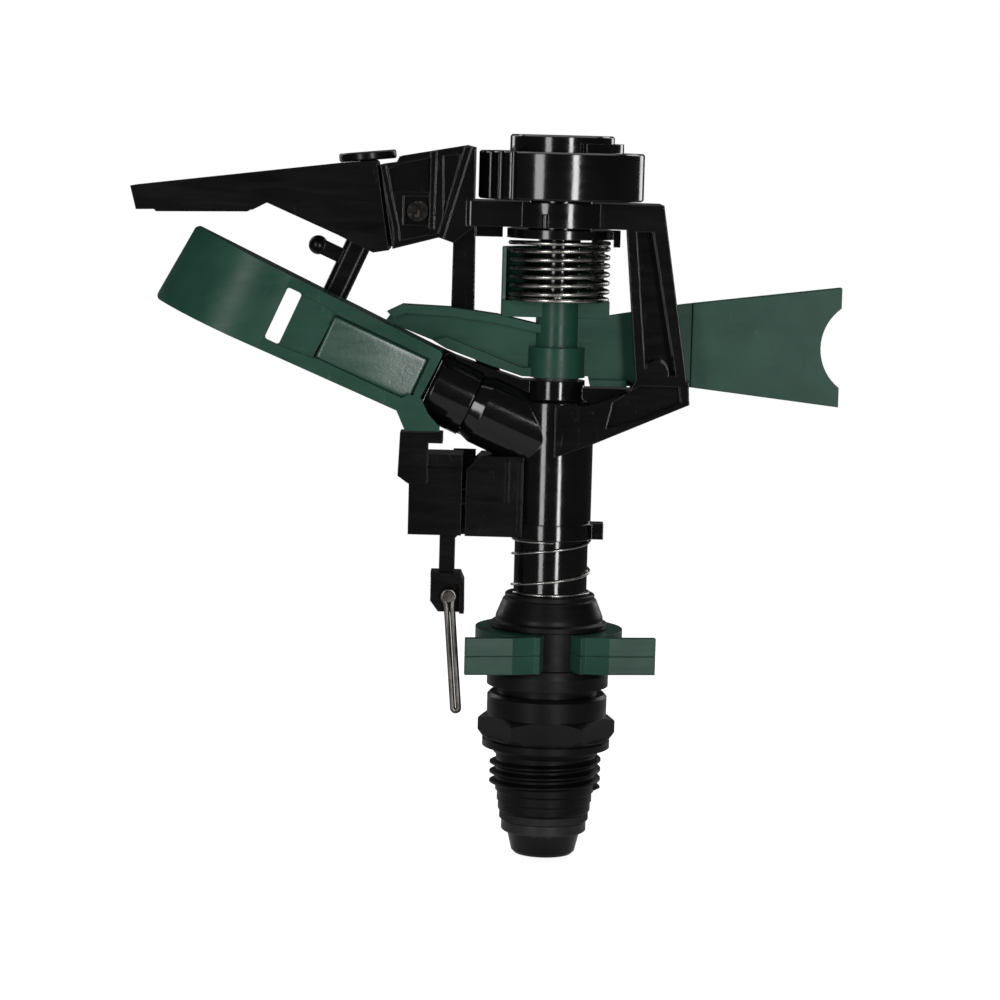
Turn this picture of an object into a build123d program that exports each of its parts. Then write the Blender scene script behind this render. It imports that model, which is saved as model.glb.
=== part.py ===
"""Part-circle impact sprinkler with a half-inch male inlet thread, built as an assembly.

Frame: +Z up along the turning axis, origin on the axis at the top of the inlet thread, the jet
leaves toward -X and up, and the clear side of the spoon faces -Y. Units are millimetres.
"""

import os
from math import cos, pi, radians, sin

from build123d import *

os.makedirs("parts", exist_ok=True)

# ---------------------------------------------------------------- driving dimensions
RUN_FIT = 0.08            # radial clearance of every turning fit

THREAD_R = 10.4775        # G 1/2 major radius
THREAD_ROOT_R = 9.3155    # G 1/2 minor radius
THREAD_PITCH = 1.814
THREAD_LOW = -7.5         # lower end of the threaded length

SEAT_Z = 1.3              # flat shoulder the thread is screwed down to
HEX_CORNER_R = 12.9
NIPPLE_BOTTOM = -11.2
NIPPLE_TOP = 26.2
BEARING_BORE_R = 5.5

WATER_R = 4.1             # water way through tube and body
TUBE_R = BEARING_BORE_R - RUN_FIT
TUBE_UPPER_R = 6.85
TUBE_SPIGOT_R = 5.6
TUBE_END = -18.2
COLLAR_TOP = -14.95
NOSE_Z = -19.2

CLIP_SEAT_R = 9.9
CLIP_R = 13.8
CLIP_LOW = 16.95
CLIP_THICK = 3.35
CLIP_GAP_ANGLE = 278.8    # middle of the opening between a clip's two ears
CLIP_EAR_Y = 13.0
CLIP_EAR_TIP = 17.7

CAP_BOTTOM = 24.0
CAP_TOP = 30.3
CAP_R = 10.8
FLANGE_BOTTOM = 40.8
FLANGE_TOP = 43.7
BODY_R = 7.25

JET_ANGLE = 24.0          # degrees above level
JET_Z = 58.7              # height at which the jet axis leaves the turning axis
BARREL_R = 6.9
BARREL_END = 17.0         # distance along the jet axis
NOZZLE_R = 6.6
NOZZLE_TIP = 25.3
ORIFICE_R = 2.0

BOSS_R = 5.4
BOSS_TOP = 70.3
PIN_R = 1.6
HUB_R = 4.05
HUB_FOOT_R = 5.35
HUB_BOTTOM = 70.9
HUB_STEP = 76.5
HUB_TOP = 85.2
SPRING_SEAT_BOTTOM = 82.0
SPRING_SEAT_TOP = 85.0
SPRING_WALL_TOP = 94.8

BRIDGE_BOTTOM = 98.7
BRIDGE_TOP = 103.3
BRIDGE_HALF = 8.4         # half depth of the bridge along Y
ANCHOR_SHAFT_R = 6.0
ANCHOR_RING_R = 9.8
ANCHOR_RING_Z = 96.6
RING_R = 15.3
RING_BOTTOM = 103.7
RING_TOP = 112.5
KNOB_R = 9.65
KNOB_TOP = 115.6

PIVOT_X, PIVOT_Z = -26.3, 101.1    # deflector pivot
FLAP_HALF = 7.0
FLAP_SLOPE = 5.9                   # degrees the back of the flap slopes at the knob
KNOB_POINT = (-35.8, 0, 109.95)
LEVER_ALONG, LEVER_Y = 48.8, 5.2   # diffuser lever axis: distance along the jet, and beside it
TRIP_Z = 48.0                      # trip lever pivot height
TRIP_PIN_R = 1.5
WIRE_PIVOT = (-18.9, 29.4)         # trip wire pivot, X and Z
WIRE_Y = -2.2

# ---------------------------------------------------------------- frames and shared shapes
jet_dir = Vector(-cos(radians(JET_ANGLE)), 0, sin(radians(JET_ANGLE)))
jet_up = Vector(sin(radians(JET_ANGLE)), 0, cos(radians(JET_ANGLE)))
jet_origin = Vector(0, 0, JET_Z)
JET = Plane(origin=jet_origin, x_dir=jet_dir, z_dir=(0, 1, 0))    # x along the jet, y above it


def at_jet(along, above, y=0.0):
    """Point given by distance along the jet axis, height square above it, and Y."""
    return jet_origin + jet_dir * along + jet_up * above + Vector(0, y, 0)


# plane of the flap's back at the adjusting knob, and the diffuser lever's axis beside the jet
KNOB_PLANE = Plane(KNOB_POINT, x_dir=(0, 1, 0),
                   z_dir=(-sin(radians(FLAP_SLOPE)), 0, cos(radians(FLAP_SLOPE))))
LEVER_PLANE = Plane(at_jet(LEVER_ALONG, 0, LEVER_Y), x_dir=jet_dir, z_dir=jet_up)


def disc(radius, z0, z1, mode=Mode.ADD, centre=(0, 0)):
    """Upright cylinder between two heights."""
    with BuildSketch(Plane.XY.offset(z0)) as outline:
        with Locations(centre):
            Circle(radius)
    extrude(outline.sketch, amount=z1 - z0, mode=mode)


def plate(plane, points, thickness, mode, corner):
    """Outline drawn on a plane and made solid on its positive side, corners rounded."""
    with BuildSketch(plane) as outline:
        with BuildLine():
            Polyline(*points, close=True)
        make_face()
        if corner:
            fillet(outline.vertices(), corner)
    extrude(outline.sketch, amount=thickness, mode=mode)


def side_plate(points, y0, y1, mode=Mode.ADD, corner=0.0):
    """Outline in X and Z, solid from y0 to y1."""
    plate(Plane.XZ.offset(-y1), points, y1 - y0, mode, corner)


def jet_plate(points, y0, y1, mode=Mode.ADD, corner=0.0):
    """Outline in jet coordinates (along, above), solid from y0 to y1."""
    plate(JET.offset(y0), points, y1 - y0, mode, corner)


def block(x0, x1, y0, y1, z0, z1, mode=Mode.ADD):
    """Rectangular block between the given limits."""
    side_plate([(x0, z0), (x1, z0), (x1, z1), (x0, z1)], y0, y1, mode)


def along_jet(radius, s0, s1, mode=Mode.ADD, end_radius=None):
    """Round bar on the jet axis from s0 to s1, tapering when an end radius is given."""
    with BuildSketch(JET) as outline:
        with BuildLine():
            far = radius if end_radius is None else end_radius
            Polyline((s0, 0), (s1, 0), (s1, far), (s0, radius), close=True)
        make_face()
    revolve(outline.sketch, axis=Axis(jet_origin, jet_dir), mode=mode)


def across(radius, x, z, y0, y1, mode=Mode.ADD):
    """Round bar along Y."""
    with BuildSketch(Plane.XZ.offset(-y1)) as outline:
        with Locations((x, z)):
            Circle(radius)
    extrude(outline.sketch, amount=y1 - y0, mode=mode)


def lengthwise(radius, x0, x1, y, z, mode=Mode.ADD):
    """Round bar along X."""
    with BuildSketch(Plane.YZ.offset(x0)) as outline:
        with Locations((y, z)):
            Circle(radius)
    extrude(outline.sketch, amount=x1 - x0, mode=mode)


def turned(points, mode=Mode.ADD):
    """Body of revolution about Z from (radius, height) points."""
    with BuildSketch(Plane.XZ) as outline:
        with BuildLine():
            Polyline(*points, close=True)
        make_face()
    revolve(outline.sketch, axis=Axis.Z, mode=mode)


def coil_points(radius, z0, z1, turns, dead, start, per_turn=16):
    """Points of a coil spring whose end turns lie flat: z0 to z1 with dead turns at each end."""
    count = round(turns * per_turn)
    points = []
    for i in range(count + 1):
        turn = turns * i / count
        rise = min(max((turn - dead) / (turns - 2 * dead), 0.0), 1.0)
        angle = radians(start) + 2 * pi * turn
        points.append((radius * cos(angle), radius * sin(angle), z0 + (z1 - z0) * rise))
    return points


# ---------------------------------------------------------------- bearing: the fixed base
with BuildPart() as bearing_nipple:
    turned([
        (BEARING_BORE_R, NIPPLE_BOTTOM), (8.4, NIPPLE_BOTTOM), (8.7, NIPPLE_BOTTOM + 0.4),
        (8.7, -9.3), (8.95, -9.1), (8.95, THREAD_LOW), (THREAD_ROOT_R, THREAD_LOW + 0.3),
        (THREAD_ROOT_R, 0), (9.8, 0), (10.6, SEAT_Z), (12.0, SEAT_Z), (12.0, 3.1),
        (11.15, 3.1), (11.15, 7.25), (11.25, 7.25), (11.25, 10.9), (10.7, 11.5), (9.3, 11.5),
        (9.3, 13.0), (11.4, 13.0), (11.4, 15.4), (11.0, 16.8), (CLIP_SEAT_R, 16.8),
        (CLIP_SEAT_R, 23.85), (7.6, 23.85), (7.6, NIPPLE_TOP), (BEARING_BORE_R, NIPPLE_TOP),
    ])
    # wrench hexagon with bevelled corners
    with BuildSketch(Plane.XY.offset(3.1)):
        RegularPolygon(HEX_CORNER_R, 6)
        Circle(8.0, mode=Mode.SUBTRACT)
    extrude(amount=4.15)
    turned([(13.5, 2.6), (11.6, 2.6), (12.95, 4.1), (12.95, 6.2), (11.3, 7.3), (13.5, 7.3)],
           Mode.SUBTRACT)
    # pipe thread ridge wound round the root cylinder
    with BuildLine() as ridge_path:
        Helix(THREAD_PITCH, 6.0, THREAD_ROOT_R, center=(0, 0, THREAD_LOW + 0.9))
    with BuildSketch(Plane(ridge_path.line @ 0, x_dir=(1, 0, 0), z_dir=ridge_path.line % 0)):
        with BuildLine():
            Polyline((-0.5, -0.7), (0, -0.7), (1.162, -0.13), (1.162, 0.13), (0, 0.7),
                     (-0.5, 0.7), close=True)
        make_face()
    sweep(path=ridge_path.line, is_frenet=True)
bearing_nipple.part.label = "bearing_nipple"
export_step(bearing_nipple.part, "parts/bearing_nipple.step")

with BuildPart() as seal_washer:
    turned([(BEARING_BORE_R, -12.75), (8.1, -12.75), (8.4, -12.55), (8.4, -11.4), (8.2, -11.2),
            (BEARING_BORE_R, -11.2)])
seal_washer.part.label = "seal_washer"
export_step(seal_washer.part, "parts/seal_washer.step")

with BuildPart() as thrust_washer:
    turned([(BEARING_BORE_R, -14.85), (7.8, -14.85), (8.0, -14.65), (8.0, -12.95), (7.8, -12.75),
            (BEARING_BORE_R, -12.75)])
thrust_washer.part.label = "thrust_washer"
export_step(thrust_washer.part, "parts/thrust_washer.step")

with BuildPart() as sand_cap:
    turned([
        (7.6, CAP_BOTTOM), (CAP_R, CAP_BOTTOM), (CAP_R, 24.9), (10.1, 25.3), (10.0, 26.1),
        (8.75, 29.2), (8.4, 29.4), (8.4, CAP_TOP - 0.2), (8.2, CAP_TOP),
        (7.25, CAP_TOP), (7.25, NIPPLE_TOP), (7.6, NIPPLE_TOP),
    ])
sand_cap.part.label = "sand_cap"
export_step(sand_cap.part, "parts/sand_cap.step")

with BuildPart() as bearing_spring:
    with BuildLine() as coil:
        Spline(*coil_points(7.2, CAP_TOP + 0.27, FLANGE_BOTTOM - 0.31, 3.2, 0.75, 200))
    with BuildSketch(Plane(coil.line @ 0, x_dir=(0, 0, 1), z_dir=coil.line % 0)):
        Circle(0.25)
    sweep(path=coil.line, is_frenet=True)
bearing_spring.part.label = "bearing_spring"
export_step(bearing_spring.part, "parts/bearing_spring.step")


def arc_clip(z0):
    """Trip stop: a split ring with a finger ear at each end of its opening."""
    turn = Rotation(0, 0, CLIP_GAP_ANGLE - 270)
    half = 3.9
    with BuildSketch(Plane.XY.offset(z0)) as outline:
        Circle(CLIP_R)
        for side in (1, -1):
            with BuildLine():
                Polyline((side * half, -12.0), (side * 4.6, -12.9), (side * 9.0, -14.0),
                         (side * CLIP_EAR_TIP, -14.0), (side * CLIP_EAR_TIP, -12.4),
                         (side * 9.5, -12.4), (side * 6.5, -10.6), close=True)
            make_face()
        with BuildLine():
            Polyline((0, -3.0), (half + 0.6, -15.0), (-half - 0.6, -15.0), close=True)
        make_face(mode=Mode.SUBTRACT)
        Circle(CLIP_SEAT_R + RUN_FIT, mode=Mode.SUBTRACT)
    extrude(turn * outline.sketch, amount=CLIP_THICK)


with BuildPart() as arc_clip_lower:
    arc_clip(CLIP_LOW)
arc_clip_lower.part.label = "arc_clip_lower"
export_step(arc_clip_lower.part, "parts/arc_clip_lower.step")

with BuildPart() as arc_clip_upper:
    arc_clip(CLIP_LOW + CLIP_THICK + 0.1)
arc_clip_upper.part.label = "arc_clip_upper"
export_step(arc_clip_upper.part, "parts/arc_clip_upper.step")

# ---------------------------------------------------------------- head: what turns with the jet
with BuildPart() as head_tube:
    turned([
        (WATER_R, TUBE_END), (4.9, TUBE_END), (4.9, COLLAR_TOP), (TUBE_R, COLLAR_TOP),
        (TUBE_R, NIPPLE_TOP + 0.35), (TUBE_UPPER_R, NIPPLE_TOP + 0.35),
        (TUBE_UPPER_R, FLANGE_BOTTOM), (TUBE_SPIGOT_R, FLANGE_BOTTOM),
        (TUBE_SPIGOT_R, 46.5), (WATER_R, 46.5),
    ])
head_tube.part.label = "head_tube"
export_step(head_tube.part, "parts/head_tube.step")

with BuildPart() as tube_end_collar:
    turned([
        (4.9, COLLAR_TOP), (6.85, COLLAR_TOP), (6.8, -15.4), (6.0, -18.6), (5.4, NOSE_Z),
        (WATER_R, NOSE_Z), (WATER_R, TUBE_END), (4.9, TUBE_END),
    ])
tube_end_collar.part.label = "tube_end_collar"
export_step(tube_end_collar.part, "parts/tube_end_collar.step")

with BuildPart() as head_body:
    # upright tube, elbow and jet barrel
    disc(BODY_R, FLANGE_BOTTOM, 66.4)
    disc(7.7, FLANGE_BOTTOM, FLANGE_TOP)
    block(0, 9.6, -2.2, 2.2, FLANGE_BOTTOM, FLANGE_TOP)
    along_jet(BARREL_R, 0, 14.6)
    along_jet(BARREL_R, 14.6, BARREL_END, end_radius=6.1)
    turned([(0, 60), (7.0, 60), (7.0, 66.0), (BOSS_R, 66.9), (BOSS_R, BOSS_TOP), (0, BOSS_TOP)])
    # lower arm of the bridge with its stiffening web
    side_plate([(0, 56.5), (6.8, 59.1), (24.5, 66.9), (24.3, 71.3), (14.6, 71.3), (13.2, 68.7),
                (6.0, 66.2), (0, 66.2)], -BRIDGE_HALF, -2.4)
    side_plate([(0, 57.5), (6.6, 60.0), (17.5, 64.9), (17.5, 69.05), (0, 69.05)], -2.4, 3.0)
    # web along the top of the barrel, up to the underside of the hammer arm
    side_plate([(0, 60.0), (0, BOSS_TOP), (-6.3, BOSS_TOP), (-12.9, 72.4), (-18.6, 74.4),
                (-18.6, 66.0)], -2.4, 2.9)
    # splash guard beside the nozzle mouth, behind the spoon
    jet_plate([(14.0, -6.6), (27.4, -6.6), (27.4, 6.6), (14.0, 6.6)], 2.9, 5.1)
    # right column: thin plate with raised rims on the clear side
    side_plate([(24.6, 66.95), (18.8, BRIDGE_TOP), (12.0, BRIDGE_TOP), (12.2, 98.0), (14.6, 71.0),
                (14.6, 66.95)], -BRIDGE_HALF, -2.4)
    side_plate([(21.9, 72.2), (17.0, 98.4), (13.9, 98.4), (16.3, 72.2)], -BRIDGE_HALF, -4.6,
               Mode.SUBTRACT)
    side_plate([(15.6, 63.9), (23.0, 67.3), (22.6, 70.2), (15.2, 70.2), (10.4, 66.9), (9.4, 62.2)],
               -BRIDGE_HALF, -6.9, Mode.SUBTRACT)
    across(2.3, 18.3, 72.6, -BRIDGE_HALF, -4.6)
    # left column, behind the hammer arm, and its foot on the barrel
    side_plate([(-19.8, 99.0), (-15.7, 99.0), (-15.5, 80.0), (-9.5, 70.0), (-6.5, 62.0),
                (-13.2, 63.8), (-14.0, 66.9), (-12.9, 71.0), (-14.5, 72.5), (-19.9, 80.0)],
               2.9, 5.1)
    side_plate([(-19.8, 99.0), (-18.3, 99.0), (-18.4, 80.4), (-11.4, 71.2), (-11.2, 66.4),
                (-14.0, 66.9), (-12.9, 71.0), (-14.5, 72.5), (-19.9, 80.0)], 2.9, BRIDGE_HALF)
    # top bar
    with BuildSketch(Plane.XY.offset(BRIDGE_BOTTOM)) as bar:
        with Locations((0.5, 0)):
            RectangleRounded(36.4, 2 * BRIDGE_HALF, 1.5)
        Circle(11.0)
    extrude(bar.sketch, amount=BRIDGE_TOP - BRIDGE_BOTTOM)
    block(-15.7, -10.6, 4.8, BRIDGE_HALF, 96.4, BRIDGE_BOTTOM)
    disc(0.6, BRIDGE_BOTTOM, 101.2, centre=(-3.0, -10.9))
    # deflector bracket: two cheeks joined beside the tension ring
    bracket = [(-33.3, 109.4), (-30.3, 109.9), (-29.8, 111.0), (-17.5, 113.3), (-15.9, 112.9),
               (-15.9, BRIDGE_TOP), (-15.0, 101.0), (-15.6, BRIDGE_BOTTOM), (-19.6, 95.5),
               (-22.3, 96.4), (-30.7, 94.1), (-31.2, 97.0)]
    side_plate(bracket, -7.9, -5.2)
    side_plate(bracket, 5.2, 7.9)
    side_plate([(-18.8, 112.6), (-17.5, 112.9), (-15.9, 112.5), (-15.9, BRIDGE_TOP),
                (-15.0, 101.0), (-15.6, BRIDGE_BOTTOM), (-19.8, 96.2), (-20.4, 97.0)], -5.3, 5.3)
    # sunk fields between the bracket ribs
    side_plate([(-31.9, 108.6), (-29.4, 109.8), (-23.9, 110.9), (-23.6, 104.6), (-31.1, 104.6)],
               -7.9, -7.0, Mode.SUBTRACT)
    side_plate([(-21.8, 111.3), (-18.5, 111.7), (-21.5, 100.0)], -7.9, -7.0, Mode.SUBTRACT)
    block(-28.9, -24.1, -7.9, -6.6, 98.6, 103.8, Mode.SUBTRACT)
    # raised ribs on the clear side of the bracket
    for rib in ([(-33.3, 109.4), (-32.3, 109.6), (-29.6, 98.0), (-29.4, 95.7), (-30.5, 95.4),
                 (-30.7, 98.0)],
                [(-24.1, 111.9), (-23.0, 112.1), (-23.2, 98.0), (-24.1, 98.0)],
                [(-17.9, 113.1), (-16.6, 113.0), (-21.4, 96.3), (-22.6, 96.5)],
                [(-30.6, 94.3), (-22.3, 96.5), (-21.4, 97.4), (-30.7, 95.4)]):
        side_plate(rib, -8.4, -7.8)
    # openings: tension shaft, pivots, water way, nozzle seat
    along_jet(NOZZLE_R + 0.05, BARREL_END, NOZZLE_TIP + 0.05, Mode.SUBTRACT)
    disc(ANCHOR_SHAFT_R + RUN_FIT, BRIDGE_BOTTOM, BRIDGE_TOP, Mode.SUBTRACT)
    across(1.2, PIVOT_X, PIVOT_Z, -7.9, 7.9, Mode.SUBTRACT)
    disc(PIN_R, 63.6, BOSS_TOP, Mode.SUBTRACT)
    disc(TUBE_SPIGOT_R, FLANGE_BOTTOM, 46.5, Mode.SUBTRACT)
    disc(WATER_R, 46.5, JET_Z, Mode.SUBTRACT)
    along_jet(WATER_R, 0, BARREL_END, Mode.SUBTRACT)
    with Locations(jet_origin):
        Sphere(WATER_R, mode=Mode.SUBTRACT)
    along_jet(5.3, 11.0, BARREL_END, Mode.SUBTRACT)
    block(8.0, 9.0, -0.6, 0.6, FLANGE_BOTTOM, FLANGE_TOP, Mode.SUBTRACT)
head_body.part.label = "head_body"
export_step(head_body.part, "parts/head_body.step")

with BuildPart() as nozzle:
    along_jet(5.3, 11.0, 17.2)
    along_jet(NOZZLE_R, 17.2, 24.8)
    along_jet(NOZZLE_R, 24.8, NOZZLE_TIP, end_radius=6.2)
    along_jet(WATER_R, 11.0, 12.0, Mode.SUBTRACT)
    along_jet(WATER_R, 12.0, 21.5, Mode.SUBTRACT, end_radius=ORIFICE_R)
    along_jet(ORIFICE_R, 21.4, NOZZLE_TIP, Mode.SUBTRACT)
nozzle.part.label = "nozzle"
export_step(nozzle.part, "parts/nozzle.step")

with BuildPart() as flow_straightener:
    for turn in (0, 60, 120):
        with BuildSketch(Plane(jet_origin, x_dir=(0, 1, 0), z_dir=jet_dir).offset(5.5)):
            Rectangle(2 * WATER_R - 0.1, 0.7, rotation=turn)
        extrude(amount=5.0)
flow_straightener.part.label = "flow_straightener"
export_step(flow_straightener.part, "parts/flow_straightener.step")

with BuildPart() as fulcrum_pin:
    disc(PIN_R, 63.6, 108.0)
fulcrum_pin.part.label = "fulcrum_pin"
export_step(fulcrum_pin.part, "parts/fulcrum_pin.step")

with BuildPart() as trip_housing:
    side_plate([(-16.2, 41.2), (-5.5, 41.2), (-5.5, 56.2), (-13.5, 56.2), (-16.2, 53.6)], -5.4, 5.4)
    # vertical ribs on the clear side, and a guard lapping behind the trip lever
    block(-9.0, -8.2, -5.8, -5.4, 47.6, 55.4)
    block(-6.6, -5.8, -5.8, -5.4, 42.2, 55.4)
    block(-16.2, -14.6, 5.3, 7.1, 41.2, 54.6)
    block(-18.8, -14.6, 7.0, 8.2, 40.0, 56.2)
    # spring pocket, open at the back
    block(-14.4, -8.6, -4.0, 5.4, 43.6, 53.2, Mode.SUBTRACT)
    disc(BODY_R, 41.0, 56.5, Mode.SUBTRACT)
    disc(7.7, FLANGE_BOTTOM, FLANGE_TOP, Mode.SUBTRACT)
    along_jet(BARREL_R, 0, 14.6, Mode.SUBTRACT)
    lengthwise(TRIP_PIN_R, -16.3, -7.0, 0, TRIP_Z, Mode.SUBTRACT)
trip_housing.part.label = "trip_housing"
export_step(trip_housing.part, "parts/trip_housing.step")

with BuildPart() as trip_pivot_pin:
    lengthwise(TRIP_PIN_R, -26.2, -7.8, 0, TRIP_Z)
trip_pivot_pin.part.label = "trip_pivot_pin"
export_step(trip_pivot_pin.part, "parts/trip_pivot_pin.step")

with BuildPart() as trip_spring:
    with BuildLine() as coil:
        Spline(*[(z - 13.9, x, y + TRIP_Z) for x, y, z in coil_points(2.5, 0, 4.6, 5.2, 0.5, 90)])
    with BuildSketch(Plane(coil.line @ 0, x_dir=(1, 0, 0), z_dir=coil.line % 0)):
        Circle(0.35)
    sweep(path=coil.line, is_frenet=True)
trip_spring.part.label = "trip_spring"
export_step(trip_spring.part, "parts/trip_spring.step")

with BuildPart() as flap_pivot_pin:
    across(1.2, PIVOT_X, PIVOT_Z, -6.6, 7.9)
    across(1.9, PIVOT_X, PIVOT_Z, -7.6, -6.6)
flap_pivot_pin.part.label = "flap_pivot_pin"
export_step(flap_pivot_pin.part, "parts/flap_pivot_pin.step")

# ---------------------------------------------------------------- spring tension group
with BuildPart() as spring_anchor:
    turned([
        (PIN_R + RUN_FIT, 85.9), (3.7, 85.9), (3.9, 86.1), (3.9, ANCHOR_RING_Z),
        (ANCHOR_RING_R, ANCHOR_RING_Z), (ANCHOR_RING_R, 98.3), (ANCHOR_SHAFT_R, 98.3),
        (ANCHOR_SHAFT_R, 106.0), (PIN_R + RUN_FIT, 106.0),
    ])
    block(9.0, 11.2, -1.2, 1.2, ANCHOR_RING_Z, 98.3)
    block(10.0, 11.2, -1.2, 1.2, 95.2, ANCHOR_RING_Z + 0.2)
spring_anchor.part.label = "spring_anchor"
export_step(spring_anchor.part, "parts/spring_anchor.step")

with BuildPart() as tension_ring:
    turned([
        (ANCHOR_SHAFT_R, RING_BOTTOM), (15.0, RING_BOTTOM), (RING_R, RING_BOTTOM + 0.3),
        (RING_R, RING_TOP - 0.3), (15.0, RING_TOP), (11.4, RING_TOP), (11.4, 110.4),
        (4.0, 110.4), (4.0, 108.4), (ANCHOR_SHAFT_R, 108.4),
    ])
    # grip flutes on one side
    for i in range(9):
        angle = radians(146 + 11 * i)
        disc(0.9, RING_BOTTOM, RING_TOP, Mode.SUBTRACT, (15.75 * cos(angle), 15.75 * sin(angle)))
    # taller guard wall hugging the knob on the other
    with BuildSketch(Plane.XY.offset(110.4)) as wall:
        Circle(11.4)
        Circle(9.95, mode=Mode.SUBTRACT)
        with BuildLine():
            Polyline((0, 0), (8, -20), (24, -16), (24, 20), close=True)
        make_face(mode=Mode.INTERSECT)
    extrude(wall.sketch, amount=3.8)
tension_ring.part.label = "tension_ring"
export_step(tension_ring.part, "parts/tension_ring.step")

with BuildPart() as top_knob:
    disc(KNOB_R, 110.4, KNOB_TOP)
    chamfer(top_knob.edges().filter_by(GeomType.CIRCLE).sort_by(Axis.Z)[-1], 0.35)
    disc(4.0, 108.4, 110.4)
    disc(8.2, KNOB_TOP - 0.5, KNOB_TOP, Mode.SUBTRACT)
top_knob.part.label = "top_knob"
export_step(top_knob.part, "parts/top_knob.step")

# ---------------------------------------------------------------- hammer arm
SPOON_END = 78.6          # distance along the jet axis
SPOON_PLAN = Plane(jet_origin, x_dir=jet_dir, z_dir=jet_up)    # along the jet, and toward -Y

with BuildPart() as spoon:
    with BuildSketch(SPOON_PLAN.offset(-9)):
        with BuildLine():
            Line((25.8, -2.4), (25.8, 8.0))
            Line((25.8, 8.0), (57.0, 8.0))
            ThreePointArc((57.0, 8.0), (70.4, 5.6), (SPOON_END, -2.4))
            Line((SPOON_END, -2.4), (25.8, -2.4))
        make_face()
    extrude(amount=18)
    jet_plate([(25.8, 6.7), (SPOON_END - 1.4, 7.9), (SPOON_END + 0.1, -7.8), (26.3, -6.6)], -9, 4,
              Mode.INTERSECT, 0.9)

with BuildPart() as spoon_channel:
    with BuildSketch(SPOON_PLAN.offset(-9)):
        with BuildLine():
            Polyline((SPOON_END - 1.7, -3.0), (24.0, -3.0), (24.0, 4.8), (53.9, 4.8), (53.9, 6.5),
                     (57.0, 6.5))
            ThreePointArc((57.0, 6.5), (69.6, 4.2), (SPOON_END - 1.7, -3.0))
        make_face()
    extrude(amount=18)
    jet_plate([(20, 5.3), (80, 6.7), (80, -6.6), (20, -5.3)], -9, 9, Mode.INTERSECT)

with BuildPart() as hammer_arm:
    # hub
    disc(HUB_FOOT_R, HUB_BOTTOM, HUB_STEP)
    disc(HUB_R, HUB_STEP, HUB_TOP)
    # half ring under the return spring, with the lug that holds the spring's end
    with BuildSketch(Plane.XY.offset(SPRING_SEAT_BOTTOM)) as seat:
        Circle(9.6)
        with Locations((0, -8.2)):
            Rectangle(22, 13.4, mode=Mode.SUBTRACT)
    extrude(seat.sketch, amount=SPRING_SEAT_TOP - SPRING_SEAT_BOTTOM)
    block(-10.3, -3.0, -3.0, 0.6, SPRING_SEAT_BOTTOM, SPRING_SEAT_TOP)
    # wall behind the spring, open toward the clear side
    for inner, top in ((9.9, SPRING_WALL_TOP), (8.6, SPRING_SEAT_TOP)):
        with BuildSketch(Plane.XY.offset(SPRING_SEAT_BOTTOM)) as wall:
            Circle(10.6)
            Circle(inner, mode=Mode.SUBTRACT)
            with BuildLine():
                Polyline((0, 0), (14.0, 10.2), (14.0, 14.0), (-14.0, 14.0), (-14.0, -2.2),
                         (0, -0.35), close=True)
            make_face(mode=Mode.INTERSECT)
        extrude(wall.sketch, amount=top - SPRING_SEAT_BOTTOM)
    # counterweight plate
    side_plate([(2.0, 71.2), (5.9, 71.2), (6.3, 69.5), (24.6, 69.7), (52.5, 66.7), (52.5, 88.8),
                (23.3, 85.0), (8.8, 82.4), (2.0, 81.8)], -1.4, 1.4)
    side_plate([(25.0, 69.7), (52.5, 66.7), (52.5, 88.8), (25.0, 85.2)], -2.0, 2.0)
    block(6.3, 13.1, -3.0, 3.0, 69.5, 70.7)
    across(9.25, 58.1, 77.7, -2.5, 2.5, Mode.SUBTRACT)
    # ribbed web from the hub to the spoon
    side_plate([(-2.0, 71.2), (-6.4, 71.2), (-20.6, 76.2), (-32.0, 80.5), (-30.5, 82.4),
                (-28.4, 83.2), (-20.0, 82.6), (-11.2, 81.5), (-2.0, 79.6)], -0.9, 0.9)
    side_plate([(-2.0, 78.9), (-2.0, 80.4), (-4.7, 80.9), (-11.2, 82.3), (-20.0, 83.4),
                (-28.8, 83.7), (-31.6, 82.3), (-30.5, 81.2), (-28.4, 82.1), (-20.0, 81.8),
                (-11.2, 80.7)], -2.5, 2.4)
    side_plate([(-2.0, 70.9), (-6.4, 71.0), (-13.0, 73.1), (-20.6, 75.8), (-23.0, 77.2),
                (-20.6, 77.9), (-6.6, 72.6), (-2.0, 72.6)], -2.5, 2.4)
    # spoon: channel, sunk window field, slot, catch lug
    add(spoon.part)
    add(spoon_channel.part, mode=Mode.SUBTRACT)
    jet_plate([(27.5, -4.2), (27.5, 4.7), (46.8, 4.6), (47.2, -4.3)], -8.1, -6.2, Mode.SUBTRACT)
    jet_plate([(46.9, -4.6), (46.9, 5.0), (54.1, 5.3), (54.1, -5.1)], -8.1, -7.3, Mode.SUBTRACT)
    jet_plate([(53.9, -5.1), (53.9, 5.3), (56.8, 5.3), (56.8, -5.1)], -9.0, -4.0, Mode.SUBTRACT,
              0.6)
    side_plate([(-30.0, 66.0), (-27.7, 60.8), (-21.3, 60.8), (-21.3, 61.6), (-23.4, 63.9),
                (-25.0, 67.0), (-27.0, 67.5)], -8.0, -5.6)
    disc(2.6, HUB_BOTTOM, HUB_TOP, Mode.SUBTRACT)
hammer_arm.part.label = "hammer_arm"
export_step(hammer_arm.part, "parts/hammer_arm.step")

with BuildPart() as arm_bushing:
    disc(2.6, HUB_BOTTOM, HUB_TOP)
    disc(PIN_R + RUN_FIT, HUB_BOTTOM, HUB_TOP, Mode.SUBTRACT)
arm_bushing.part.label = "arm_bushing"
export_step(arm_bushing.part, "parts/arm_bushing.step")

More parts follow.
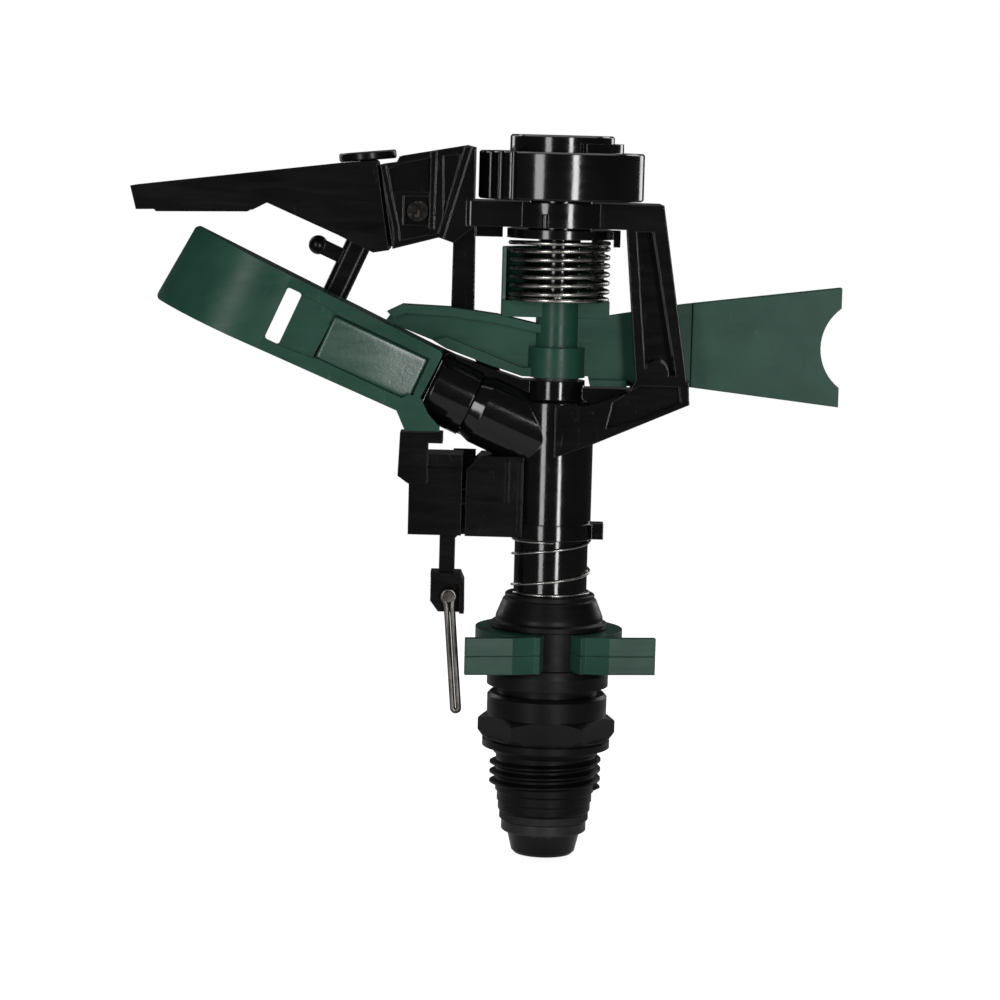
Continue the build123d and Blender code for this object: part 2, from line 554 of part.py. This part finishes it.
with BuildPart() as arm_washer:
    disc(4.2, BOSS_TOP, HUB_BOTTOM - 0.05)
    disc(PIN_R, BOSS_TOP, HUB_BOTTOM, Mode.SUBTRACT)
arm_washer.part.label = "arm_washer"
export_step(arm_washer.part, "parts/arm_washer.step")

with BuildPart() as arm_spring:
    with BuildLine() as coil:
        Spline(*coil_points(9.1, SPRING_SEAT_TOP + 0.42, 95.85, 7.6, 0.5, 190))
    with BuildSketch(Plane(coil.line @ 0, x_dir=(0, 0, 1), z_dir=coil.line % 0)):
        Circle(0.4)
    sweep(path=coil.line, is_frenet=True)
arm_spring.part.label = "arm_spring"
export_step(arm_spring.part, "parts/arm_spring.step")

# ---------------------------------------------------------------- jet deflector and diffuser
with BuildPart() as deflector_flap:
    side_plate([(-79.0, 104.4), (-77.9, 100.1), (-74.6, 100.2), (-74.2, 99.8), (-57.5, 100.2),
                (-54.1, 102.0), (-40.9, 96.4), (-34.3, 93.3), (-31.4, 93.8), (-31.9, 97.0),
                (-33.9, 109.7), (-34.3, 110.1), (-41.0, 109.4)], -FLAP_HALF, FLAP_HALF)
    side_plate([(-76.4, 90.0), (-77.3, 102.8), (-41.0, 107.8), (-35.6, 108.4), (-35.6, 90.0)],
               -5.6, 5.6, Mode.SUBTRACT)
    jet_plate([(46.2, 18.0), (51.4, 18.0), (51.4, 25.0), (46.2, 25.0)], 2.4, FLAP_HALF)
    side_plate([(-36.0, 109.0), (-31.6, 109.6), (-28.4, 108.8), (-23.0, 104.4), (-22.8, 98.2),
                (-27.4, 95.4), (-30.6, 94.5), (-36.0, 94.3)], -4.6, 4.6)
    across(1.2 + RUN_FIT, PIVOT_X, PIVOT_Z, -5, 5, Mode.SUBTRACT)
    with BuildSketch(KNOB_PLANE.offset(0.5)) as knob_bore:
        Circle(1.5 + RUN_FIT)
    extrude(knob_bore.sketch, amount=-4.0, mode=Mode.SUBTRACT)
    with BuildSketch(LEVER_PLANE.offset(17.5)) as lever_bore:
        Circle(1.5 + RUN_FIT)
    extrude(lever_bore.sketch, amount=6.5, mode=Mode.SUBTRACT)
deflector_flap.part.label = "deflector_flap"
export_step(deflector_flap.part, "parts/deflector_flap.step")

with BuildPart() as flap_knob:
    with BuildSketch(KNOB_PLANE.offset(0.1)):
        Circle(5.3)
    extrude(amount=1.6)
    chamfer(flap_knob.edges().filter_by(GeomType.CIRCLE), 0.25)
    with BuildSketch(KNOB_PLANE.offset(1.7)):
        Rectangle(7.0, 1.2)
    extrude(amount=-0.6, mode=Mode.SUBTRACT)
    with BuildSketch(KNOB_PLANE.offset(0.2)):
        Circle(1.5)
    extrude(amount=-3.4)
flap_knob.part.label = "flap_knob"
export_step(flap_knob.part, "parts/flap_knob.step")

with BuildPart() as diffuser_lever:
    with BuildSketch(LEVER_PLANE.offset(3.0)):
        RectangleRounded(4.8, 3.2, 1.4)
    extrude(amount=14.4)
    with BuildSketch(LEVER_PLANE.offset(17.0)):
        Circle(1.5)
    extrude(amount=6.6)
    with BuildSketch(LEVER_PLANE.offset(3.0)):
        with Locations((1.6, 0)):
            SlotOverall(6.0, 2.8)
    extrude(amount=1.4)
    with BuildSketch(LEVER_PLANE.offset(-1.0)):
        with Locations((3.2, 0)):
            Circle(0.8)
    extrude(amount=4.5)
    with BuildSketch(LEVER_PLANE.offset(12.6)):
        with Locations((3.4, 0)):
            Rectangle(6.0, 2.6)
    extrude(amount=2.7)
    with Locations(LEVER_PLANE.offset(13.95)):
        with Locations((6.7, 0, 0)):
            Sphere(1.8)
diffuser_lever.part.label = "diffuser_lever"
export_step(diffuser_lever.part, "parts/diffuser_lever.step")

# ---------------------------------------------------------------- trip mechanism
with BuildPart() as trip_lever:
    block(-26.8, -16.9, -5.0, 5.0, 41.2, 56.2)
    block(-26.8, -16.9, -5.6, -5.0, 51.4, 53.8)
    side_plate([(-28.6, 60.3), (-28.9, 52.2), (-26.9, 50.8), (-23.4, 50.8), (-23.4, 58.4),
                (-20.7, 58.4), (-20.7, 60.3)], -6.2, 0.0)
    block(-20.9, -18.0, -1.5, 1.5, 32.4, 41.4)
    side_plate([(-18.1, 41.3), (-17.0, 41.3), (-18.1, 40.2)], -1.5, 1.5)
    lengthwise(TRIP_PIN_R + RUN_FIT, -26.4, -16.8, 0, TRIP_Z, Mode.SUBTRACT)
trip_lever.part.label = "trip_lever"
export_step(trip_lever.part, "parts/trip_lever.step")

with BuildPart() as wire_clevis:
    side_plate([(-22.4, 28.3), (-20.9, 26.3), (-16.0, 26.3), (-16.1, 32.3), (-16.8, 33.9),
                (-22.4, 33.9)], -3.2, 3.0)
    side_plate([(-23.0, 25.5), (-16.9, 25.5), (-16.9, 31.9), (-18.9, 31.9), (-23.0, 33.3)],
               -3.3, -1.1, Mode.SUBTRACT)
    block(-20.9, -18.0, -1.5, 1.5, 32.4, 34.0, Mode.SUBTRACT)
    across(0.5, *WIRE_PIVOT, -1.5, 1.9, Mode.SUBTRACT)
wire_clevis.part.label = "wire_clevis"
export_step(wire_clevis.part, "parts/wire_clevis.step")

with BuildPart() as wire_rivet:
    across(0.5, *WIRE_PIVOT, -2.95, 1.9)
    across(0.95, *WIRE_PIVOT, -3.4, -2.95)
wire_rivet.part.label = "wire_rivet"
export_step(wire_rivet.part, "parts/wire_rivet.step")

# hairpin wire: an eye round the rivet, then two legs side by side with a rounded lower end
wire_r, reach = 0.52, 21.2
eye_r = 0.5 + RUN_FIT + wire_r
end_r = wire_r + 0.03
neck_angle = radians(55)
wire_dir = Vector(2.0, 0, -23.5).normalized()
wire_side = Vector(23.5, 0, 2.0).normalized()
eye_centre = Vector(WIRE_PIVOT[0], WIRE_Y, WIRE_PIVOT[1])


def wire_point(along, beside):
    """Point of the hairpin at a distance down its own direction and to one side of it."""
    return eye_centre + wire_dir * along + wire_side * beside


with BuildPart() as trip_wire:
    with BuildLine() as hairpin:
        neck, shoulder = eye_r * cos(neck_angle), eye_r * sin(neck_angle)
        eye = ThreePointArc(wire_point(neck, shoulder), wire_point(-eye_r, 0),
                            wire_point(neck, -shoulder))
        Spline(wire_point(neck, -shoulder), wire_point(neck + 2.2, -end_r),
               tangents=(eye % 1, wire_dir))
        Line(wire_point(neck + 2.2, -end_r), wire_point(reach, -end_r))
        ThreePointArc(wire_point(reach, -end_r), wire_point(reach + end_r, 0),
                      wire_point(reach, end_r))
        Line(wire_point(reach, end_r), wire_point(neck + 2.2, end_r))
        Spline(wire_point(neck + 2.2, end_r), wire_point(neck, shoulder),
               tangents=(-wire_dir, eye % 0))
    with BuildSketch(Plane(hairpin.line @ 0, x_dir=(0, 1, 0), z_dir=hairpin.line % 0)):
        Circle(wire_r)
    sweep(path=hairpin.wires()[0])
trip_wire.part.label = "trip_wire"
export_step(trip_wire.part, "parts/trip_wire.step")
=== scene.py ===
"""Studio scene for the impact sprinkler: materials, fine pieces, light and camera round the CAD frame."""

from math import cos, pi, radians, sin

import bmesh
import bpy
from mathutils import Matrix, Vector


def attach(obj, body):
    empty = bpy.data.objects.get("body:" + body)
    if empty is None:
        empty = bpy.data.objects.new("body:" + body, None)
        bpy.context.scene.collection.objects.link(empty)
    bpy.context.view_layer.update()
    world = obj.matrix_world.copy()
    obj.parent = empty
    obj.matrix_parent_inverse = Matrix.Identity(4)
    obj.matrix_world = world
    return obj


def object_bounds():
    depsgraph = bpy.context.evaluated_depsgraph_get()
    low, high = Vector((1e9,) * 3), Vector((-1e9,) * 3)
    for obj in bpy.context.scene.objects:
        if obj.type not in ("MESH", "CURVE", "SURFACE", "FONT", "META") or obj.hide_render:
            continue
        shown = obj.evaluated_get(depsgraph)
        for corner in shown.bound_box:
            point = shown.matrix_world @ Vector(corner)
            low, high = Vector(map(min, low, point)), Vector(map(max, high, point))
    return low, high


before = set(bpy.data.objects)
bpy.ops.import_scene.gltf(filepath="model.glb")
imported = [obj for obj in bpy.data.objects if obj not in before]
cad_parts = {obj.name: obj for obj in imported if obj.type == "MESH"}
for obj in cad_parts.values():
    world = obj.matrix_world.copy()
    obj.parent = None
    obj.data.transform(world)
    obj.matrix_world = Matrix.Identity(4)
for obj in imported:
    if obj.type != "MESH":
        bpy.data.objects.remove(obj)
cad_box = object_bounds()
scene = bpy.context.scene

# ---------------------------------------------------------------- places taken from the frame
MM = 0.001
floor_z = cad_box[0].z

# ---------------------------------------------------------------- node graph helpers


class Graph:
    """A material's node tree, with short calls for the nodes the finishes share."""

    def __init__(self, name, **constants):
        self.material = bpy.data.materials.new(name)
        self.material.use_nodes = True
        self.tree = self.material.node_tree
        self.shader = self.tree.nodes["Principled BSDF"]
        for socket, value in constants.items():
            self.shader.inputs[socket.replace("_", " ")].default_value = value
        self.place = self.node("ShaderNodeTexCoord").outputs["Object"]

    def node(self, kind, settings=None, **inputs):
        """New node; an input may be a number, a colour or another node's socket."""
        node = self.tree.nodes.new(kind)
        for name, value in (settings or {}).items():
            setattr(node, name, value)
        for name, value in inputs.items():
            key = int(name[1:]) if name[0] == "_" else name.replace("_", " ")
            self.feed(node.inputs[key], value)
        return node

    def feed(self, socket, value):
        if isinstance(value, bpy.types.NodeSocket):
            self.tree.links.new(value, socket)
        else:
            socket.default_value = value

    def stretched(self, scale):
        """Object coordinates scaled by three factors, for grain that runs one way."""
        return self.node("ShaderNodeMapping", Vector=self.place, Scale=scale).outputs[0]

    def noise(self, scale, detail=2.0, rough=0.5, vector=None, distortion=0.0):
        return self.node("ShaderNodeTexNoise", Vector=vector or self.place, Scale=scale,
                         Detail=detail, Roughness=rough, Distortion=distortion).outputs["Fac"]

    def ramp(self, value, low, high, to_low=0.0, to_high=1.0):
        """Smooth step of a value from [low, high] to [to_low, to_high]."""
        node = self.node("ShaderNodeMapRange", {"interpolation_type": "SMOOTHSTEP"}, Value=value)
        for key, number in zip(("From Min", "From Max", "To Min", "To Max"),
                               (low, high, to_low, to_high)):
            node.inputs[key].default_value = number
        return node.outputs["Result"]

    def math(self, operation, a, b=0.0):
        return self.node("ShaderNodeMath", {"operation": operation}, _0=a, _1=b).outputs[0]

    def blend(self, amount, a, b):
        """Colour between a and b."""
        node = self.node("ShaderNodeMix", {"data_type": "RGBA"})
        for key, value in (("Factor_Float", amount), ("A_Color", a), ("B_Color", b)):
            socket = next(s for s in node.inputs if s.identifier == key)
            self.feed(socket, value)
        return next(s for s in node.outputs if s.identifier == "Result_Color")

    def rounded(self, radius):
        """Normal with softened edges, and a mask that is 1 along those edges."""
        soft = self.node("ShaderNodeBevel", {"samples": 6}, Radius=radius).outputs[0]
        hard = self.node("ShaderNodeNewGeometry").outputs["Normal"]
        match = self.node("ShaderNodeVectorMath", {"operation": "DOT_PRODUCT"},
                          _0=soft, _1=hard).outputs["Value"]
        return soft, self.ramp(match, 0.995, 0.86)

    def bump(self, height, distance, strength, normal):
        return self.node("ShaderNodeBump", Height=height, Distance=distance, Strength=strength,
                         Normal=normal).outputs[0]

    def finish(self, colour, roughness, normal):
        self.feed(self.shader.inputs["Base Color"], colour)
        self.feed(self.shader.inputs["Roughness"], roughness)
        self.feed(self.shader.inputs["Normal"], normal)
        return self.material


def moulded(name, dark, light, worn, rough, specular, grain, relief=0.02 * MM):
    """Injection moulded plastic: colour drift, flow streaks, fine grain, scuffs and worn edges."""
    g = Graph(name, Specular_IOR_Level=specular)
    soft, edges = g.rounded(0.28 * MM)
    drift = g.noise(95.0, 3.0, 0.55)
    streaks = g.noise(60.0, 4.0, 0.6, g.stretched((1.0, 1.0, 9.0)), 0.6)
    scuffs = g.ramp(g.noise(420.0, 5.0, 0.7, g.stretched((1.0, 1.0, 0.35)), 1.2), 0.60, 0.74)
    wear = g.math("MULTIPLY", edges, g.ramp(g.noise(700.0, 3.0, 0.6), 0.35, 0.7, 0.25, 1.0))
    colour = g.blend(g.ramp(drift, 0.3, 0.72), (*dark, 1), (*light, 1))
    colour = g.blend(g.math("MULTIPLY", wear, 0.55), colour, (*worn, 1))
    colour = g.blend(g.math("MULTIPLY", scuffs, 0.16), colour, (*worn, 1))
    base = g.ramp(streaks, 0.25, 0.75, rough[0], rough[1])
    roughness = g.math("ADD", base, g.math("MULTIPLY", scuffs, 0.12))
    roughness = g.math("ADD", roughness, g.math("MULTIPLY", wear, 0.06))
    fine = g.noise(grain, 3.0, 0.6)
    normal = g.bump(fine, relief, 0.35, soft)
    normal = g.bump(drift, 0.06 * MM, 0.35, normal)
    return g.finish(colour, roughness, normal)


def turned_black():
    """Satin black plastic with the faint rings and dust of a turned, threaded part."""
    g = Graph("satin_black", Specular_IOR_Level=0.13)
    soft, edges = g.rounded(0.25 * MM)
    rings = g.noise(900.0, 3.0, 0.65, g.stretched((0.02, 0.02, 1.0)))
    drift = g.noise(130.0, 3.0, 0.5)
    dust = g.ramp(g.noise(1500.0, 4.0, 0.75), 0.56, 0.72)
    wear = g.math("MULTIPLY", edges, g.ramp(g.noise(800.0, 3.0, 0.6), 0.35, 0.65, 0.2, 1.0))
    colour = g.blend(g.ramp(drift, 0.3, 0.7), (0.0024, 0.0025, 0.0029, 1),
                     (0.0046, 0.0044, 0.0046, 1))
    colour = g.blend(g.math("MULTIPLY", wear, 0.5), colour, (0.016, 0.016, 0.018, 1))
    colour = g.blend(g.math("MULTIPLY", dust, 0.10), colour, (0.04, 0.04, 0.042, 1))
    roughness = g.ramp(g.math("ADD", g.math("MULTIPLY", rings, 0.6), g.math("MULTIPLY", drift, 0.4)),
                       0.3, 0.7, 0.30, 0.48)
    normal = g.bump(rings, 0.02 * MM, 0.4, soft)
    normal = g.bump(g.noise(2600.0, 2.0), 0.012 * MM, 0.4, normal)
    return g.finish(colour, roughness, normal)


def drawn_steel(name, dark, light, rough):
    """Drawn wire: bright metal with dull, slightly browned patches and draw marks."""
    g = Graph(name, Metallic=1.0)
    patches = g.noise(340.0, 4.0, 0.6)
    marks = g.noise(2400.0, 3.0, 0.6, g.stretched((1.0, 1.0, 0.25)))
    tarnish = g.ramp(g.noise(900.0, 5.0, 0.7), 0.52, 0.72)
    colour = g.blend(g.ramp(patches, 0.3, 0.7), (*dark, 1), (*light, 1))
    colour = g.blend(g.math("MULTIPLY", tarnish, 0.45), colour, (0.12, 0.095, 0.075, 1))
    roughness = g.math("ADD", g.ramp(patches, 0.3, 0.7, rough[0], rough[1]),
                       g.math("MULTIPLY", tarnish, 0.18))
    soft = g.rounded(0.1 * MM)[0]
    normal = g.bump(marks, 0.01 * MM, 0.5, soft)
    return g.finish(colour, roughness, normal)


def soft_washer(name, dark, light, rough):
    """Rubber or bearing plastic: mottled, dusty, fine pores."""
    g = Graph(name, Specular_IOR_Level=0.35)
    soft, edges = g.rounded(0.2 * MM)
    mottling = g.noise(600.0, 4.0, 0.6)
    pores = g.noise(3200.0, 3.0, 0.7)
    colour = g.blend(g.ramp(mottling, 0.3, 0.7), (*dark, 1), (*light, 1))
    colour = g.blend(g.math("MULTIPLY", edges, 0.3), colour, (0.12, 0.12, 0.12, 1))
    roughness = g.ramp(pores, 0.3, 0.7, rough[0], rough[1])
    normal = g.bump(pores, 0.02 * MM, 0.5, soft)
    return g.finish(colour, roughness, normal)


GREEN_DARK, GREEN_LIGHT, GREEN_WORN = (0.011, 0.043, 0.029), (0.017, 0.058, 0.040), (0.06, 0.12, 0.095)

gloss_black = moulded("gloss_black", (0.0022, 0.0020, 0.0021), (0.0042, 0.0036, 0.0038),
                      (0.014, 0.013, 0.013), (0.09, 0.14), 0.5, 1500.0)
mould_black = moulded("mould_black", (0.0022, 0.0022, 0.0024), (0.0042, 0.0040, 0.0041),
                      (0.014, 0.013, 0.013), (0.18, 0.27), 0.16, 1800.0)
green = moulded("green_satin", GREEN_DARK, GREEN_LIGHT, GREEN_WORN, (0.28, 0.38), 0.16, 1700.0)
green_gloss = moulded("green_gloss", GREEN_DARK, GREEN_LIGHT, GREEN_WORN, (0.26, 0.36), 0.55, 900.0,
                      relief=0.07 * MM)
satin_black = turned_black()
spring_steel = drawn_steel("spring_steel", (0.26, 0.25, 0.24), (0.44, 0.43, 0.41), (0.20, 0.32))
wire_steel = drawn_steel("wire_steel", (0.10, 0.09, 0.083), (0.20, 0.19, 0.175), (0.26, 0.40))
blackened_pin = drawn_steel("blackened_pin", (0.010, 0.010, 0.010), (0.028, 0.026, 0.025), (0.3, 0.45))
rubber = soft_washer("rubber", (0.006, 0.006, 0.006), (0.012, 0.012, 0.012), (0.6, 0.8))
bearing = soft_washer("bearing_plastic", (0.010, 0.010, 0.010), (0.018, 0.018, 0.017), (0.35, 0.5))

FINISHES = {
    gloss_black: ["head_body", "head_tube", "nozzle", "top_knob", "tension_ring", "spring_anchor",
                  "tube_end_collar"],
    mould_black: ["trip_housing", "trip_lever", "wire_clevis", "deflector_flap", "flap_knob",
                  "diffuser_lever"],
    satin_black: ["bearing_nipple", "sand_cap"],
    green: ["hammer_arm", "arc_clip_lower", "arc_clip_upper", "flow_straightener"],
    spring_steel: ["arm_spring", "bearing_spring", "trip_spring", "fulcrum_pin"],
    wire_steel: ["trip_wire", "wire_rivet"],
    blackened_pin: ["trip_pivot_pin", "flap_pivot_pin"],
    rubber: ["seal_washer"],
    bearing: ["thrust_washer", "arm_bushing", "arm_washer"],
}
for finish, names in FINISHES.items():
    for name in names:
        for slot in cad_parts[name].material_slots:
            slot.material = finish

# ---------------------------------------------------------------- window panel on the spoon

JET_ANGLE, JET_Z = radians(24.0), 58.7 * MM
along_jet = Vector((-cos(JET_ANGLE), 0.0, sin(JET_ANGLE)))
above_jet = Vector((sin(JET_ANGLE), 0.0, cos(JET_ANGLE)))
jet_root = Vector((0.0, 0.0, JET_Z))
PANEL_START, PANEL_END = 27.7 * MM, 46.8 * MM          # along the jet
PANEL_HALF_START, PANEL_HALF_END = 4.35 * MM, 4.25 * MM
PANEL_BACK = -6.15 * MM                                # just inside the floor of the recess
PANEL_EDGE, PANEL_SLOPE = 0.2 * MM, 0.13
PANEL_LEVEL = 0.3                                      # where the slope starts to die away
PANEL_CROSS_BOW = 0.06                                 # share of the bow lost at the long edges
PANEL_RIM, PANEL_RIM_DROP = 0.4 * MM, 0.18 * MM        # rounded border
PANEL_COLUMNS, PANEL_ROWS = 48, 20


def crown(t, w):
    """Panel thickness at t along its length and w across it, both 0 to 1."""
    length = PANEL_END - PANEL_START
    late = max(t - PANEL_LEVEL, 0)
    bow = PANEL_SLOPE * length * (t - late ** 2 / (2 * (1 - PANEL_LEVEL)))
    across = 1 - PANEL_CROSS_BOW * (2 * w - 1) ** 2
    rim = min(t * length, (1 - t) * length, w * PANEL_HALF_START, (1 - w) * PANEL_HALF_START)
    return PANEL_EDGE + bow * across - PANEL_RIM_DROP * (1 - min(rim / PANEL_RIM, 1)) ** 2


def panel_point(t, w, thickness):
    """Point on the panel, raised by a thickness above its flat back."""
    along = PANEL_START + t * (PANEL_END - PANEL_START)
    half = PANEL_HALF_START + t * (PANEL_HALF_END - PANEL_HALF_START)
    place = jet_root + along_jet * along + above_jet * (2 * w - 1) * half
    return Vector((place.x, PANEL_BACK - thickness, place.z))


def panel_skin(bm, thickness):
    """Grid of points across the panel, with the faces between them."""
    grid = []
    for i in range(PANEL_COLUMNS + 1):
        t = i / PANEL_COLUMNS
        grid.append([])
        for j in range(PANEL_ROWS + 1):
            w = j / PANEL_ROWS
            grid[-1].append(bm.verts.new(panel_point(t, w, thickness(t, w))))
    faces = []
    for i in range(PANEL_COLUMNS):
        for j in range(PANEL_ROWS):
            corners = [grid[i][j], grid[i + 1][j], grid[i + 1][j + 1], grid[i][j + 1]]
            faces.append(bm.faces.new(corners))
    return grid, faces


def flat_back(t, w):
    return 0


def spoon_panel():
    """Crowned glossy field in the spoon's clear side, as one closed plate."""
    bm = bmesh.new()
    top, front_faces = panel_skin(bm, crown)
    bottom, back_faces = panel_skin(bm, flat_back)
    ring = [(i, 0) for i in range(PANEL_COLUMNS)]
    ring += [(PANEL_COLUMNS, j) for j in range(PANEL_ROWS)]
    ring += [(i, PANEL_ROWS) for i in range(PANEL_COLUMNS, 0, -1)]
    ring += [(0, j) for j in range(PANEL_ROWS, 0, -1)]
    for (i, j), (k, m) in zip(ring, ring[1:] + ring[:1]):
        bm.faces.new([top[k][m], top[i][j], bottom[i][j], bottom[k][m]])
    for face in front_faces + back_faces:
        face.smooth = True
    bmesh.ops.recalc_face_normals(bm, faces=bm.faces)
    mesh = bpy.data.meshes.new("spoon_panel")
    bm.to_mesh(mesh)
    bm.free()
    mesh.materials.append(green_gloss)
    panel = bpy.data.objects.new("spoon_panel", mesh)
    scene.collection.objects.link(panel)
    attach(panel, "arm")


spoon_panel()

# ---------------------------------------------------------------- floor, light and camera
FLOOR_RADIUS = 0.3
FLOOR_DROP = 0.1 * MM                                  # gap under the lowest point
FLOOR_GLOW_SEEN, FLOOR_GLOW_MIRRORED = 0.86, 0.08
SURROUND_SEEN, SURROUND_MIRRORED = 1.0, 0.05


def camera_ray(tree):
    """1 for rays straight from the camera: the surround looks white, and is dim in reflections."""
    return tree.nodes.new("ShaderNodeLightPath").outputs["Is Camera Ray"]


def staged_floor():
    """Round pale floor with a slightly uneven surface."""
    mesh = bpy.data.meshes.new("floor")
    bm = bmesh.new()
    bmesh.ops.create_circle(bm, cap_ends=True, radius=FLOOR_RADIUS, segments=96)
    bm.to_mesh(mesh)
    bm.free()
    floor = bpy.data.objects.new("floor", mesh)
    floor.location.z = floor_z - FLOOR_DROP
    scene.collection.objects.link(floor)
    g = Graph("floor_paper", Specular_IOR_Level=0.1)
    g.shader.inputs["Emission Color"].default_value = (1, 1, 1, 1)
    glow = g.node("ShaderNodeMapRange", Value=camera_ray(g.tree))
    glow.inputs["To Min"].default_value = FLOOR_GLOW_MIRRORED
    glow.inputs["To Max"].default_value = FLOOR_GLOW_SEEN
    g.tree.links.new(glow.outputs["Result"], g.shader.inputs["Emission Strength"])
    fibre = g.noise(500.0, 3.0, 0.6)
    colour = g.blend(g.noise(3.0), (0.46, 0.46, 0.46, 1), (0.5, 0.5, 0.5, 1))
    level_normal = g.node("ShaderNodeNewGeometry").outputs["Normal"]
    mesh.materials.append(g.finish(colour, g.ramp(fibre, 0.3, 0.7, 0.8, 0.95),
                                   g.bump(fibre, 0.05 * MM, 0.2, level_normal)))


def softbox(name, azimuth, elevation, distance, width, height, radiance):
    """Area light aimed at the object; azimuth 0 is the camera's side, positive toward +X."""
    data = bpy.data.lights.new(name, "AREA")
    data.shape = "RECTANGLE"
    data.size, data.size_y = width, height
    data.energy = radiance * pi * width * height
    light = bpy.data.objects.new(name, data)
    a, e = radians(azimuth), radians(elevation)
    toward = Vector((sin(a) * cos(e), -cos(a) * cos(e), sin(e)))
    light.location = aim + toward * distance
    light.rotation_euler = toward.to_track_quat("Z", "Y").to_euler()
    scene.collection.objects.link(light)


aim = Vector((-9.8 * MM, 0.0, 47.5 * MM))
CAMERA_DISTANCE, VIEW_WIDTH, SENSOR = 0.62, 0.187, 36.0
CAMERA_ELEVATION, CAMERA_ROLL = radians(6.5), radians(1.53)

staged_floor()
softbox("key_left", -31, 2, 1.0, 0.22, 0.8, 8.5)
softbox("key_right", 19, 4, 1.1, 0.15, 0.8, 20.0)
softbox("overhead", 180, 76, 1.0, 1.2, 0.9, 1.8)
softbox("back_left", -140, 20, 1.2, 0.3, 0.9, 3.0)
softbox("back_right", 145, 20, 1.2, 0.3, 0.9, 3.0)

world = bpy.data.worlds.new("studio")
scene.world = world
world.use_nodes = True
backdrop = world.node_tree.nodes["Background"]
level = world.node_tree.nodes.new("ShaderNodeMapRange")
level.inputs["To Min"].default_value = SURROUND_MIRRORED
level.inputs["To Max"].default_value = SURROUND_SEEN
world.node_tree.links.new(camera_ray(world.node_tree), level.inputs["Value"])
world.node_tree.links.new(level.outputs["Result"], backdrop.inputs["Strength"])
backdrop.inputs["Color"].default_value = (1, 1, 1, 1)

camera = bpy.data.objects.new("camera", bpy.data.cameras.new("camera"))
camera.data.sensor_width = SENSOR
camera.data.lens = SENSOR * CAMERA_DISTANCE / VIEW_WIDTH
camera.data.clip_start, camera.data.clip_end = 0.05, 30.0
back = Vector((0, -cos(CAMERA_ELEVATION), sin(CAMERA_ELEVATION)))
camera.location = aim + back * CAMERA_DISTANCE
facing = back.to_track_quat("Z", "Y").to_matrix() @ Matrix.Rotation(CAMERA_ROLL, 3, "Z")
camera.rotation_euler = facing.to_euler()
scene.collection.objects.link(camera)
scene.camera = camera
scene.view_settings.view_transform = "Standard"
